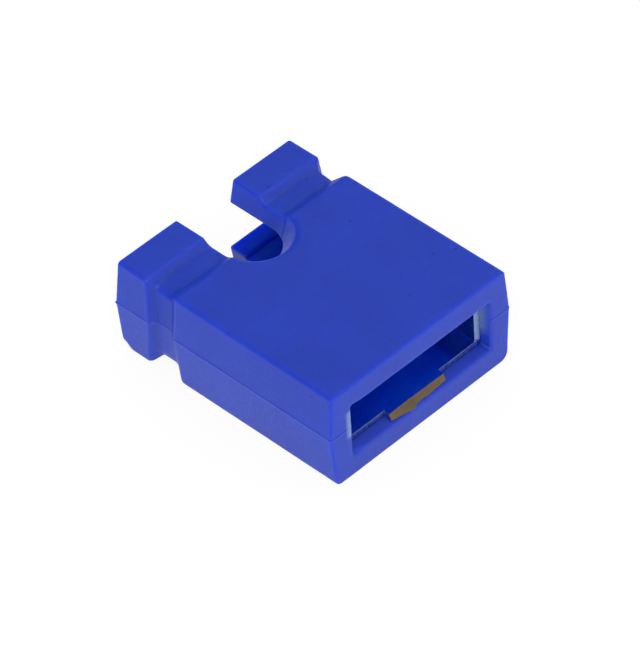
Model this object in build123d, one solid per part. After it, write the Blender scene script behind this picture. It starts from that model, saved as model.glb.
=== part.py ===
from build123d import *
import os

# Jumper cap (open-ended shunt) for two square header posts side by side.
# It lies on its wide face: the mouth faces -Y, the two finger ears point to +Y, the posts stand
# side by side along X, and Z runs through the thickness. The pieces are drawn with the mouth at
# y = 0 and moved at the end, so that the origin is under the middle of the whole part, on the
# resting face. All lengths are in millimetres.

# Header posts that the cap takes
POST_PITCH = 2.54
POST_SIZE = 0.64

# Moulded housing, outside
WIDTH = 5.00             # at the mould's parting line
THICKNESS = 2.33
LENGTH = 5.94            # mouth to the back of the ears, at the parting line
PARTING_Z = 1.29         # where the mould's two halves meet
DRAFT = 0.10             # how far each side leans in from the parting line to the wide faces
BODY_LENGTH = 4.24       # mouth to the shoulder where the ears start
TOP_EDGE_R = 0.08
BOTTOM_EDGE_R = 0.18
MOUTH_CORNER_R = 0.10    # upright corners beside the mouth
EAR_HEEL_R = 0.34        # soft lower back edge of the ears

# Finger groove around each ear
GROOVE_DEPTH = 0.15
GROOVE_START = 4.43      # foot of the ramp that leads down from the shoulder
GROOVE_END = 4.94        # foot of the ramp that leads up to the ear's head
HEAD_START = 5.06
NECK_TOP_HALF = 1.84     # half-width of the groove's flat top, where the neck's slope begins
NECK_SLOPE_HALF = 2.22   # half-width at the foot of that slope
NECK_SLOPE_DROP = 0.10
GROOVE_BOTTOM_R = 0.28

# Cavity, which runs from the mouth right through the ears
CAVITY_WIDTH = 3.78
FLOOR_Z = 0.625
CEILING_Z = 1.735
LEAD_IN_DEPTH = 0.22
LEAD_IN_LOW = 0.10       # how far the lead-in opens the mouth downwards
LEAD_IN_SIDE = 0.06      # and to each side
STOP_START = 5.38        # raised stop behind the contact, under the ears' heads
STOP_HEIGHT = 0.06

# Slots that part the two ears
TOP_SLOT_Y = 4.38        # centre of the slot's round end, at the upper face
TOP_SLOT_HALF = 0.79
TOP_SLOT_FOOT_Y = 4.72   # the same at the cavity's ceiling: the round end is a leaning scoop
TOP_SLOT_FOOT_HALF = 0.715
TOP_SLOT_RIM_R = 0.06
BOTTOM_SLOT_Y = 4.37
BOTTOM_SLOT_HALF = 0.63  # at the resting face
BOTTOM_SLOT_FLOOR_HALF = 0.57

# Folded contact
SHEET = 0.13
CONTACT_GAP = 0.01       # between the contact and each side wall of the cavity
CONTACT_FRONT = 0.24
CONTACT_BACK = 4.72
WALL_BACK = 4.15
WALL_CLEARANCE = 0.06    # between the folded tops and the cavity's ceiling
FOLD_R = 0.13            # on the sheet's middle line
TONGUE_FRONT = 1.10
TONGUE_BACK = 3.70
TONGUE_PINCH = 0.12      # how much narrower the empty grip is than a post
TONGUE_GRIP_INSET = 0.07 # how far inside each post's middle the tongue grips
TONGUE_TIP_WIDTH = 0.39  # upturned edge beyond the grip
TONGUE_TIP_RISE = 0.13
LANCE_HALF = 0.24
LANCE_TIP_Y = 3.84
LANCE_ROOT_Y = 4.34
LANCE_DROP = 0.20
LANCE_GAP = 0.04

# Stub of the carrier strip, left at the mouth when the contact was broken off. Its broken face
# leans from a straight upper edge out to a torn lower edge, whose points are x, y
STUB_DROOP = 0.04
STUB_TOP_Y = 0.115
STUB_EDGE = [(-0.81, 0.04), (-0.24, -0.05), (-0.10, 0.02), (0.20, 0.01), (0.71, 0.04)]

UPPER_HEIGHT = THICKNESS - PARTING_Z
BACK = LENGTH - DRAFT    # mouth to the ears' back edge at the wide faces
CONTACT_WIDTH = CAVITY_WIDTH - 2 * CONTACT_GAP
STUB_REACH = min(y for x, y in STUB_EDGE)
MIDDLE_Y = (LENGTH + STUB_REACH) / 2
REACH = 10.0             # longer than the cap, for tools that cut right through
TINY = 1e-4


def across(y):
    """Work plane across the cap at a distance y from the mouth, with local axes X and Z."""
    return Plane(origin=(0, y, 0), x_dir=(1, 0, 0), z_dir=(0, -1, 0))


def half_width(z):
    """Half of the drafted housing's width at height z."""
    lean_share = max((z - PARTING_Z) / UPPER_HEIGHT, (PARTING_Z - z) / PARTING_Z)
    return WIDTH / 2 - DRAFT * lean_share


def plain_corners():
    """Right-hand corners of the housing's drafted section, from the resting face up."""
    return [(half_width(z), z) for z in (0, PARTING_Z, THICKNESS)]


def sunk_corners():
    """Right-hand corners of the section in the groove, whose upper edge is a slope."""
    top_z = THICKNESS - GROOVE_DEPTH
    low = [(half_width(z) - GROOVE_DEPTH, z) for z in (GROOVE_DEPTH, PARTING_Z)]
    return low + [(NECK_SLOPE_HALF, top_z - NECK_SLOPE_DROP), (NECK_TOP_HALF, top_z)]


def section(y, right):
    """Face across the cap at y, from its right-hand corners and their mirror images."""
    corners = right + [(-x, z) for x, z in reversed(right)]
    return across(y) * make_face(Polyline(*corners, close=True))


def plain_section(y):
    """Section of the body and of the ears' heads, with all four long edges rounded."""
    sharp = section(y, plain_corners())
    face = fillet([v for v in sharp.vertices() if v.Z < TINY], BOTTOM_EDGE_R)
    return fillet([v for v in face.vertices() if v.Z > THICKNESS - TINY], TOP_EDGE_R)


def sunk_section(y):
    """Section in the groove, with its lower edges rounded."""
    sharp = section(y, sunk_corners())
    return fillet([v for v in sharp.vertices() if v.Z < GROOVE_DEPTH + TINY], GROOVE_BOTTOM_R)


def housing_block():
    """Drafted block with the finger groove sunk around its ears."""
    stations = [
        plain_section(0),
        plain_section(BODY_LENGTH),
        sunk_section(GROOVE_START),
        sunk_section(GROOVE_END),
        plain_section(HEAD_START),
        plain_section(LENGTH),
    ]
    return loft([station.face() for station in stations], ruled=True)


def front_outline():
    """Sharp-edged drafted prism whose upright corners beside the mouth are rounded."""
    prism = extrude(section(REACH, plain_corners()), amount=REACH)
    front = prism.faces().sort_by(Axis.Y)[0]
    upright = [e for e in front.edges() if abs(e.center().X) > half_width(0)]
    return fillet(upright, MOUTH_CORNER_R)


def side_outline():
    """Side view of the block: drafted back faces and the ears' soft lower heel."""
    above = THICKNESS + UPPER_HEIGHT    # the outline runs past the upper face
    with BuildSketch(Plane.YZ) as outline:
        with BuildLine():
            Polyline(
                (-UPPER_HEIGHT, 0),
                (BACK, 0),
                (LENGTH, PARTING_Z),
                (BACK - DRAFT, above),
                (-UPPER_HEIGHT, above),
                close=True,
            )
        make_face()
        heel = [v for v in outline.vertices() if v.X > BODY_LENGTH and v.Y < TINY]
        fillet(heel, EAR_HEEL_R)
    return extrude(outline.sketch, amount=REACH / 2, both=True)


def cavity():
    """Straight cavity with a lead-in at the mouth and a raised stop under the ears' heads."""
    height = CEILING_Z - FLOOR_Z
    middle = (CEILING_Z + FLOOR_Z) / 2
    with BuildPart() as space:
        with Locations((0, STOP_START / 2, middle)):
            Box(CAVITY_WIDTH, STOP_START, height)
        with Locations((0, (STOP_START + REACH) / 2, middle + STOP_HEIGHT / 2)):
            Box(CAVITY_WIDTH, REACH - STOP_START, height - STOP_HEIGHT)
        mouth_width = CAVITY_WIDTH + 2 * LEAD_IN_SIDE
        mouth_low = FLOOR_Z - LEAD_IN_LOW
        with BuildSketch(across(0)):
            with Locations((0, (CEILING_Z + mouth_low) / 2)):
                Rectangle(mouth_width, CEILING_Z - mouth_low)
        with BuildSketch(across(LEAD_IN_DEPTH)):
            with Locations((0, middle)):
                Rectangle(CAVITY_WIDTH, height)
        loft()
    return space.part


def slot_outline(z, centre_y, half):
    """Outline of a slot at height z: round towards the mouth, and open past the back."""
    with BuildSketch(Plane((0, 0, z))) as outline:
        with BuildLine():
            CenterArc((0, centre_y), half, 180, 180)
            Polyline((half, centre_y), (half, REACH), (-half, REACH), (-half, centre_y))
        make_face()
    return outline.sketch.face()


def top_slot():
    """Slot through the upper wall, whose round end leans back from the top to the ceiling."""
    foot = slot_outline(CEILING_Z, TOP_SLOT_FOOT_Y, TOP_SLOT_FOOT_HALF)
    rim = slot_outline(THICKNESS, TOP_SLOT_Y, TOP_SLOT_HALF)
    return loft([foot, rim], ruled=True)


def bottom_slot():
    """Narrower slot through the lower wall, carried on through the raised stop."""
    lean = (BOTTOM_SLOT_HALF - BOTTOM_SLOT_FLOOR_HALF) / FLOOR_Z
    stop_z = FLOOR_Z + STOP_HEIGHT
    foot = slot_outline(0, BOTTOM_SLOT_Y, BOTTOM_SLOT_HALF)
    rim = slot_outline(stop_z, BOTTOM_SLOT_Y, BOTTOM_SLOT_HALF - lean * stop_z)
    return loft([foot, rim], ruled=True)


def housing():
    """Block less its cavity and slots, with the top slot's round rim softened."""
    block = housing_block() & front_outline() & side_outline()
    hollow = block - cavity() - top_slot() - bottom_slot()
    top_edges = hollow.edges().filter_by(GeomType.CIRCLE).group_by(Axis.Z)[-1]
    return fillet(top_edges, TOP_SLOT_RIM_R)


def contact_profile():
    """Middle line of the folded sheet, seen from the mouth: base, two side walls, two tongues."""
    wall_x = (CONTACT_WIDTH - SHEET) / 2
    base_z = FLOOR_Z + SHEET / 2
    top_z = CEILING_Z - WALL_CLEARANCE - SHEET / 2
    grip_z = FLOOR_Z + SHEET + POST_SIZE - TONGUE_PINCH + SHEET / 2
    grip_x = POST_PITCH / 2 - TONGUE_GRIP_INSET
    right = [
        (wall_x, base_z),
        (wall_x, top_z),
        (grip_x, grip_z),
        (grip_x - TONGUE_TIP_WIDTH, grip_z + TONGUE_TIP_RISE),
    ]
    left = [(-x, z) for x, z in reversed(right)]
    return FilletPolyline(*left, *right, radius=FOLD_R)


def folded_sheet():
    """The whole folded section, swept from the contact's front to its back."""
    with BuildSketch(across(CONTACT_BACK)) as sheet:
        with BuildLine() as middle:
            contact_profile()
        trace(middle.line, line_width=SHEET)
    return extrude(sheet.sketch, amount=CONTACT_BACK - CONTACT_FRONT)


def above_base(front, back, width, clearance):
    """Tool that clears everything more than a clearance above the base, between two distances."""
    low = FLOOR_Z + SHEET + clearance
    with BuildPart() as tool:
        with Locations((0, (front + back) / 2, (low + THICKNESS) / 2)):
            Box(width, back - front, THICKNESS - low)
    return tool.part


def bent_strip(root_y, tip_y, drop, half_across):
    """Strip of the base's sheet, bent down by a drop between its root and its tip."""
    rooted = root_y + SHEET    # the strip runs on into the base, so the two join
    with BuildSketch(Plane.YZ) as strip:
        with BuildLine():
            Polyline(
                (tip_y, FLOOR_Z - drop),
                (root_y, FLOOR_Z),
                (rooted, FLOOR_Z),
                (rooted, FLOOR_Z + SHEET),
                (root_y, FLOOR_Z + SHEET),
                (tip_y, FLOOR_Z + SHEET - drop),
                close=True,
            )
        make_face()
    return extrude(strip.sketch, amount=half_across, both=True)


def stub_outline(z, front_edge):
    """Outline of the stub at height z, behind its front edge."""
    left, right = front_edge[0][0], front_edge[-1][0]
    return Plane((0, 0, z)) * make_face(
        Polyline((left, REACH), *front_edge, (right, REACH), close=True)
    )


def carrier_stub():
    """Stub of the carrier strip at the mouth, with the leaning face where it was broken off."""
    torn = stub_outline(FLOOR_Z - STUB_DROOP, STUB_EDGE)
    straight = stub_outline(FLOOR_Z + SHEET, [(x, STUB_TOP_Y) for x, y in STUB_EDGE])
    broken = loft([torn, straight], ruled=True)
    return bent_strip(CONTACT_FRONT, STUB_REACH, STUB_DROOP, WIDTH) & broken


def lance_window():
    """Opening in the base around the lance."""
    front = LANCE_TIP_Y - LANCE_GAP
    with BuildPart() as window:
        with Locations((0, (front + LANCE_ROOT_Y) / 2, FLOOR_Z + SHEET / 2)):
            Box(2 * (LANCE_HALF + LANCE_GAP), LANCE_ROOT_Y - front, 2 * SHEET)
    return window.part


def contact():
    """Folded contact: base, side walls, two gripping tongues, carrier stub and retaining lance."""
    between_walls = CONTACT_WIDTH - 2 * SHEET
    bend = 2 * FOLD_R
    sheet = folded_sheet()
    sheet -= above_base(0, TONGUE_FRONT, between_walls, bend)
    sheet -= above_base(TONGUE_BACK, REACH, between_walls, bend)
    sheet -= above_base(WALL_BACK, REACH, WIDTH, 0)
    sheet -= lance_window()
    return sheet + carrier_stub() + bent_strip(LANCE_ROOT_Y, LANCE_TIP_Y, LANCE_DROP, LANCE_HALF)


os.makedirs("parts", exist_ok=True)
for name, piece in (("housing", housing()), ("contact", contact())):
    placed = Pos(0, -MIDDLE_Y, 0) * piece
    placed.label = name
    export_step(placed, f"parts/{name}.step")
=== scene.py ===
"""Jumper cap that joins two header posts: a moulded blue housing and a folded, tinned contact.

Everything is made in metres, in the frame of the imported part: the mouth faces -Y, the finger ears
point to +Y, and the cap lies on its wide face at z = 0. Inside the node trees and the sheet's
outlines, lengths are in millimetres and y is measured from the mouth.
"""

import math

import bmesh
import bpy
from bpy.props import FloatProperty, FloatVectorProperty, PointerProperty
from mathutils import Matrix, Vector, noise


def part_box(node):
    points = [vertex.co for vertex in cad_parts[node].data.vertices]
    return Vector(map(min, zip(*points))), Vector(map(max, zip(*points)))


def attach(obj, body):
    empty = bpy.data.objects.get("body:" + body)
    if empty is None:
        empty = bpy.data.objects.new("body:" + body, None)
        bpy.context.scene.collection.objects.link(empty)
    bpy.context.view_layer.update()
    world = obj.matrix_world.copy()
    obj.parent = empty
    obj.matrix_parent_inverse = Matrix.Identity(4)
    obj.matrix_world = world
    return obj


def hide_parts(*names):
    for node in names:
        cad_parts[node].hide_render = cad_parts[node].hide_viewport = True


bl_info = {
    "name": "Jumper Cap",
    "version": (1, 0, 0),
    "blender": (4, 5, 0),
    "location": "View3D > Sidebar > Jumper Cap",
    "description": "Builds the looks of a two-post jumper cap around its packed part",
    "category": "Object",
}

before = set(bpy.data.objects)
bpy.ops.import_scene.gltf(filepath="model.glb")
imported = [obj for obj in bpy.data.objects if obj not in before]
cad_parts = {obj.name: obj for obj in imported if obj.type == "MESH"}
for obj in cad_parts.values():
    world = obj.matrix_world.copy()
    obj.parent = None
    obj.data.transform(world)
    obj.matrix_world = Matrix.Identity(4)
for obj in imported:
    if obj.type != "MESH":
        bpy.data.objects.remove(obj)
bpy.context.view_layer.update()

MM = 0.001
BODY = "root"
HOUSING_LOW, HOUSING_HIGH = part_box("housing")
CONTACT_LOW, CONTACT_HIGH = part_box("contact")
MOUTH_Y = HOUSING_LOW.y


# ---------------------------------------------------------------- settings


def size_of(name, millimetres, description):
    """Property for a length, given here in millimetres and kept in metres."""
    return FloatProperty(
        name=name, description=description, default=millimetres * MM, unit="LENGTH", precision=6
    )


def colour_of(name, red, green, blue, description):
    """Property for a surface's linear colour."""
    return FloatVectorProperty(
        name=name, description=description, default=(red, green, blue), subtype="COLOR",
        size=3, min=0.0, max=1.0,
    )


class HousingSizes(bpy.types.PropertyGroup):
    """Sizes of the moulded housing. Each one is an input of its node tree, under the same name."""

    width: size_of(
        "Width", (HOUSING_HIGH.x - HOUSING_LOW.x) / MM, "Width across both posts, at the parting line"
    )
    thickness: size_of("Thickness", (HOUSING_HIGH.z - HOUSING_LOW.z) / MM, "Height as it lies")
    length: size_of(
        "Length", (HOUSING_HIGH.y - HOUSING_LOW.y) / MM, "From the mouth to the back of the ears"
    )
    parting: size_of("Parting Height", 1.29, "Height at which the two halves of the mould meet")
    draft: size_of("Draft", 0.10, "How far each side leans in from the parting line")
    top_edge: size_of("Top Edge Radius", 0.08, "Rounding of the long upper edges")
    low_edge: size_of("Bottom Edge Radius", 0.17, "Rounding of the long lower edges")
    heel: size_of("Heel Radius", 0.34, "Soft lower edge at the back of the ears")
    fine_edge: size_of("Fine Edge Radius", 0.04, "Rounding of the other outer edges")
    groove: size_of("Groove Depth", 0.15, "Depth of the finger groove round the ears")
    groove_floor: size_of("Groove Bottom Radius", 0.33, "Rounding under the groove")
    shoulder: size_of("Shoulder", 4.28, "From the mouth to the front edge of the groove")
    shoulder_run: size_of("Shoulder Run", 0.19, "Length of the ramp down from the shoulder")
    head: size_of("Head", 4.97, "From the mouth to the ears' heads, at the parting line")
    head_run: size_of("Head Run", 0.12, "Length of the ramp up to the heads")
    neck_top: size_of("Neck Top Half Width", 1.84, "Half width of the groove's flat top")
    neck_slope: size_of("Neck Slope Run", 0.38, "Width of the slope beside that flat top")
    neck_drop: size_of("Neck Slope Drop", 0.10, "Drop of that slope")
    cavity: size_of("Cavity Width", 3.78, "Width of the cavity that holds the contact")
    floor: size_of("Floor Height", 0.625, "Height of the cavity's floor")
    ceiling: size_of("Ceiling Height", 1.735, "Height of the cavity's ceiling")
    cavity_edge: size_of("Cavity Edge Radius", 0.025, "Rounding along the cavity's corners")
    lead_in: size_of("Lead-in Depth", 0.22, "How far in the mouth's lead-in reaches")
    lead_low: size_of("Lead-in Drop", 0.10, "How far the lead-in opens downwards")
    lead_high: size_of("Lead-in Rise", 0.05, "How far the lead-in opens upwards")
    lead_side: size_of("Lead-in Side", 0.07, "How far the lead-in opens to each side")
    stop: size_of("Stop Start", 5.38, "From the mouth to the raised stop under the heads")
    stop_height: size_of("Stop Height", 0.06, "Height of that stop")
    slot_y: size_of("Top Slot Centre", 4.38, "Centre of the upper slot's round end, at the top")
    slot_half: size_of("Top Slot Half Width", 0.79, "Half width of the upper slot, at the top")
    slot_lean: size_of("Top Slot Lean", 0.35, "How far the round end leans back, down to the ceiling")
    slot_taper: size_of("Top Slot Taper", 0.08, "How much each side closes in, down to the ceiling")
    slot_rim: size_of("Top Slot Rim Radius", 0.09, "Rounding of the round end's rim")
    mouth_rim: size_of("Mouth Rim Radius", 0.09, "Rounding of the mouth's left rim")
    low_slot_y: size_of("Bottom Slot Centre", 4.37, "Centre of the lower slot's round end")
    low_slot_half: size_of("Bottom Slot Half Width", 0.63, "Half width of the lower slot")
    flash: size_of("Flash", 0.011, "Height of the bead of plastic along the parting line")
    witness: size_of("Witness Step", 0.012, "Step where the mould's ear insert meets its body")
    ridge: size_of("Head Ridge", 0.018, "Height of the fine ridge up the front edge of each head")
    waves: size_of("Waves", 0.008, "Unevenness of the moulded faces")


class ContactSizes(bpy.types.PropertyGroup):
    """Sizes of the folded sheet contact."""

    sheet: size_of("Sheet", 0.13, "Thickness of the sheet")
    fold: size_of("Fold Radius", 0.13, "Radius of each fold, on the sheet's middle line")
    edge: size_of("Edge Radius", 0.005, "Rounding of the cut edges")
    wall_top: size_of("Wall Top", 1.61, "Height of the folds above the side walls")
    grip_x: size_of("Grip Place", 1.20, "Distance of each tongue's grip from the middle")
    grip_z: size_of("Grip Height", 1.34, "Height of each tongue's grip")
    tip_x: size_of("Tip Place", 0.81, "Distance of each tongue's tip from the middle")
    tip_z: size_of("Tip Height", 1.47, "Height of each tongue's tip")
    tongue_start: size_of("Tongue Start", 1.45, "From the mouth to the front of the tongues")
    tongue_end: size_of("Tongue End", 3.70, "From the mouth to the back of the tongues")
    wall_end: size_of("Wall End", 4.15, "From the mouth to the back of the side walls")
    stub_droop: size_of("Stub Droop", 0.04, "How far the carrier stub is bent down at its end")
    stub_top: size_of("Stub Upper Edge", 0.115, "From the mouth to the broken face's upper edge")
    lance_half: size_of("Lance Half Width", 0.24, "Half width of the retaining lance")
    lance_tip: size_of("Lance Tip", 3.84, "From the mouth to the lance's tip")
    lance_root: size_of("Lance Root", 4.34, "From the mouth to the lance's root")
    lance_drop: size_of("Lance Drop", 0.20, "How far the lance's tip is bent down")


class CapColours(bpy.types.PropertyGroup):
    """Colours of the housing and of the contact."""

    plastic: colour_of("Plastic", 0.0022, 0.0320, 0.3900, "Outside of the moulded housing")
    plastic_deep: colour_of("Deep Plastic", 0.0015, 0.0250, 0.3400, "Its darker mottling")
    plastic_slot: colour_of("Slot Plastic", 0.0024, 0.0330, 0.4100, "Duller walls of the slots")
    # painted light: the lining is far brighter than the outside plastic, standing in for light in the
    # shaded cavity
    plastic_inside: colour_of("Inside Plastic", 0.0010, 0.1000, 0.9000, "Smooth cavity walls")
    plastic_under: colour_of("Deep Inside Plastic", 0.0003, 0.0240, 0.4200, "Those walls near the slots")
    speck: colour_of("Speck", 0.0020, 0.0150, 0.2000, "Dark specks in the plastic")
    dust: colour_of("Dust", 0.5500, 0.6000, 0.8000, "Pale dust in the pits")
    tin: colour_of("Tin", 0.7200, 0.7100, 0.6800, "Bright tin plating")
    tin_deep: colour_of("Deep Tin", 0.5200, 0.5100, 0.4700, "Its darker mottling")
    bronze: colour_of("Bronze", 0.2950, 0.2150, 0.1300, "Bare bronze where the strip was torn")
    bronze_deep: colour_of("Deep Bronze", 0.1360, 0.0980, 0.0650, "Its darker mottling")
    # painted highlight: pale plastic that stands in for light on the mouth's left rim and on the right
    # lead-in wall
    painted_highlight: colour_of("Painted Highlight Plastic", 0.1600, 0.2500, 0.4200, "Plastic painted pale as a highlight beside the mouth")
    # painted reflection: the cut edges' metal is tinted blue, standing in for the blue plastic that they
    # reflect
    sheared_painted_reflection: colour_of("Sheared Edge", 0.2600, 0.3500, 0.6000, "Cut edges of the sheet")
    sheared_painted_reflection_deep: colour_of("Deep Sheared Edge", 0.2200, 0.3000, 0.5200, "Their darker streaks")
    floor: colour_of("Floor", 0.9000, 0.9000, 0.9000, "Floor that the cap lies on")


class StageSettings(bpy.types.PropertyGroup):
    """Camera and light."""

    azimuth: FloatProperty(
        name="Azimuth", description="Camera's bearing; 0 looks along +Y", subtype="ANGLE",
        default=math.radians(-43.016),
    )
    elevation: FloatProperty(
        name="Elevation", description="Camera's height above the horizon", subtype="ANGLE",
        default=math.radians(43.146),
    )
    roll: FloatProperty(
        name="Roll", description="Camera's turn about its own axis", subtype="ANGLE",
        default=math.radians(-3.800),
    )
    distance: size_of("Distance", 113.01, "From the camera to the cap")
    lens: FloatProperty(
        name="Lens", description="Focal length on a 36 mm wide sensor", default=325.823,
        unit="CAMERA",
    )
    matt_low: FloatProperty(
        name="Fill Light", description="World light on the cap from its dim side", default=1.10
    )
    matt_high: FloatProperty(
        name="Soft Light", description="World light on the cap from its bright side", default=1.15
    )
    gloss_low: FloatProperty(
        name="Dim Reflection", description="World's strength in reflections, dim side",
        default=0.05,
    )
    gloss_high: FloatProperty(
        name="Bright Reflection", description="World's strength in reflections, bright side",
        default=0.65,
    )
    lamp_power: FloatProperty(
        name="Lamp Power", description="Power of the soft lamp", default=0.257, unit="POWER"
    )


class JumperCapSettings(bpy.types.PropertyGroup):
    """All settings of the jumper cap, kept on the scene."""

    housing: PointerProperty(type=HousingSizes)
    contact: PointerProperty(type=ContactSizes)
    colours: PointerProperty(type=CapColours)
    stage: PointerProperty(type=StageSettings)


def settings():
    return bpy.context.scene.jumper_cap


def in_millimetres(sizes):
    """The values of a property group of lengths, in millimetres, by property name."""
    names = type(sizes).__annotations__
    return {name: getattr(sizes, name) / MM for name in names}


def opaque(colour):
    """A colour property as the four numbers that a shader socket takes."""
    return (*colour, 1.0)


# ---------------------------------------------------------------- numbers in node trees


class Field:
    """A number that varies over space in a node tree. Arithmetic on it adds Math nodes."""

    def __init__(self, tree, socket):
        self.tree = tree
        self.socket = socket

    def math(self, operation, *others):
        node = self.tree.nodes.new("ShaderNodeMath")
        node.operation = operation
        for socket, value in zip(node.inputs, (self, *others)):
            if isinstance(value, Field):
                self.tree.links.new(value.socket, socket)
            else:
                socket.default_value = value
        return Field(self.tree, node.outputs[0])

    def __add__(self, other):
        return self.math("ADD", other)

    def __sub__(self, other):
        return self.math("SUBTRACT", other)

    def __rsub__(self, other):
        return self.math("MULTIPLY", -1.0).math("ADD", other)

    def __mul__(self, other):
        return self.math("MULTIPLY", other)

    def __truediv__(self, other):
        return self.math("DIVIDE", other)

    def __neg__(self):
        return self.math("MULTIPLY", -1.0)

    def __abs__(self):
        return self.math("ABSOLUTE")

    __radd__ = __add__
    __rmul__ = __mul__


def lower(a, b):
    """The smaller of two numbers: joins two solids."""
    return a.math("MINIMUM", b)


def higher(a, b):
    """The larger of two numbers: keeps what two solids share."""
    return a.math("MAXIMUM", b)


def hypotenuse(a, b):
    """Length of the vector (a, b)."""
    return (a * a + b * b).math("SQRT")


def ramp(value, start, end):
    """Smooth step from 0 at start to 1 at end, or the other way round if start is the larger."""
    node = value.tree.nodes.new("ShaderNodeMapRange")
    node.interpolation_type = "SMOOTHSTEP"
    value.tree.links.new(value.socket, node.inputs["Value"])
    low, high = min(start, end), max(start, end)
    node.inputs["From Min"].default_value = low
    node.inputs["From Max"].default_value = high
    node.inputs["To Min"].default_value = 0.0 if start < end else 1.0
    node.inputs["To Max"].default_value = 1.0 if start < end else 0.0
    return Field(value.tree, node.outputs["Result"])


def new_tree(name, inputs, output):
    """Geometry node tree with named inputs [(name, socket type, default)] and one output."""
    tree = bpy.data.node_groups.new(name, "GeometryNodeTree")
    for label, kind, default in inputs:
        item = tree.interface.new_socket(label, in_out="INPUT", socket_type=kind)
        if default is not None:
            item.default_value = default
    tree.interface.new_socket(output[0], in_out="OUTPUT", socket_type=output[1])
    return tree, tree.nodes.new("NodeGroupInput"), tree.nodes.new("NodeGroupOutput")


def add_group(tree, group, *values):
    node = tree.nodes.new("GeometryNodeGroup")
    node.node_tree = group
    for socket, value in zip(node.inputs, values):
        if isinstance(value, Field):
            tree.links.new(value.socket, socket)
        else:
            socket.default_value = value
    return Field(tree, node.outputs[0])


def rounded_edge_group():
    """What two solids share, with the edge between them rounded to a radius."""
    number = "NodeSocketFloat"
    inputs = [("First", number, 0.0), ("Second", number, 0.0), ("Radius", number, 0.05)]
    tree, given, result = new_tree("Rounded edge", inputs, ("Distance", number))
    first, second, radius = (Field(tree, socket) for socket in given.outputs[:3])
    inside = lower(higher(first, second), -radius)
    corner = hypotenuse(higher(first + radius, 0.0), higher(second + radius, 0.0))
    tree.links.new((inside + corner).socket, result.inputs[0])
    return tree


def spacing_group(name, start, stretches):
    """Distance in mm for a count of grid lines, from stretches [(length, spacing)].

    Lines lie close together where the housing has edges and far apart where it is flat."""
    number = "NodeSocketFloat"
    tree, given, result = new_tree(name, [("Line", number, 0.0)], ("Distance", number))
    line = Field(tree, given.outputs[0])
    place = line * 0.0 + start
    lines = 0
    last_step = 0.0
    for length, spacing in stretches:
        count = round(length / spacing)
        step = length / count
        place = place + higher(line - lines, 0.0) * (step - last_step)
        lines += count
        last_step = step
    tree.links.new(place.socket, result.inputs[0])
    return tree, lines


def plain_mesh(name, source):
    """A copy of an object's finished mesh as a new object, without its modifiers."""
    graph = bpy.context.evaluated_depsgraph_get()
    mesh = bpy.data.meshes.new_from_object(source.evaluated_get(graph), depsgraph=graph)
    mesh.name = name
    bpy.data.objects.remove(source)
    piece = bpy.data.objects.new(name, mesh)
    bpy.context.scene.collection.objects.link(piece)
    return piece


def mesh_from_tree(name, tree, values):
    """Plain mesh object from a node tree and its inputs' values, by their names."""
    source = bpy.data.objects.new(name + "_source", bpy.data.meshes.new(name + "_source"))
    bpy.context.scene.collection.objects.link(source)
    modifier = source.modifiers.new("shape", "NODES")
    modifier.node_group = tree
    for item in tree.interface.items_tree:
        if item.in_out == "INPUT":
            modifier[item.identifier] = values[item.name]
    return plain_mesh(name, source)


# ---------------------------------------------------------------- housing

# Grid of the housing, as stretches (length, spacing) in mm
FINE = 0.019
X_LINES = [(0.50, 0.10), (0.36, FINE), (0.88, 0.11), (0.20, FINE), (0.22, 0.044), (0.36, FINE)]
Y_START = -0.08
Y_LINES = [
    (0.38, FINE), (3.22, 0.14), (0.46, 0.023), (0.22, 0.044), (0.28, FINE), (0.44, 0.055),
    (0.22, FINE), (0.16, 0.05), (0.06, 0.02), (0.36, 0.05), (0.24, FINE),
]
Z_START = -0.04
Z_LINES = [
    (0.28, FINE), (0.26, 0.05), (0.23, FINE), (0.47, 0.08), (0.15, 0.0125), (0.29, 0.08),
    (0.15, FINE), (0.20, 0.05), (0.38, FINE),
]

# Small forms of the housing, in mm; a pair says where a change starts and where it is full
SEAM_HALF = 0.02            # half width of the flash bead
EDGE_HALF = 0.035           # half width of the ridge up each head's edge
STEP = 0.02                 # length over which a small step rises
WITNESS_Y = 4.37            # where the mould's ear insert meets its body
TOP_SLOT_CREASE = 0.04      # rounding where the upper slot breaks into the cavity
LOW_SLOT_CREASE = 0.064     # and the lower slot
TOP_SLOT_END = 1.3          # height, inside the cavity, down to which the upper slot cuts
LOW_SLOT_END = 1.1          # and up to which the lower slot cuts
LOW_SLOT_TAPER = 0.096      # how much each of its sides closes in, for each mm of height
LEFT_TO_RIGHT = (-1.0, 1.0)     # across, where the left side's form passes to the right's
LOW_TO_HIGH = (1.2, 1.4)        # height, where the lower mould half's lean passes to the upper's
LEFT_EAR_SHORT = 0.05       # how much shorter the left ear is
LOW_EDGE_SPREAD = 0.06      # how much rounder the right lower edge is than the left
HEEL_REACH = (5.62, 5.84)
NECK_TOP_EDGE = 0.03        # rounding between the groove's flat top and its slope
NECK_SIDE_EDGE = 0.06       # and between that slope and the neck's side
SCOOP_RIM_ALONG = (4.34, 4.10)  # where the scoop's rim is soft
SCOOP_RIM_UP = (1.9, 2.1)
STOP_RIM_ALONG = (5.4, 5.7)     # where the cavity's lower back rim is soft
STOP_RIM_UP = (1.0, 0.75)
STOP_RIM = 0.08             # how much softer it is there
MOUTH_RIM_ALONG = (0.5, 0.2)    # where the mouth's left rim is soft
MOUTH_RIM_ACROSS = (-1.6, -1.8)
LINING_START = 0.08         # from the end of the lead-in to the polished lining
PAINT_REACH = 0.012         # how near a wall's true surface its faces lie

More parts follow.
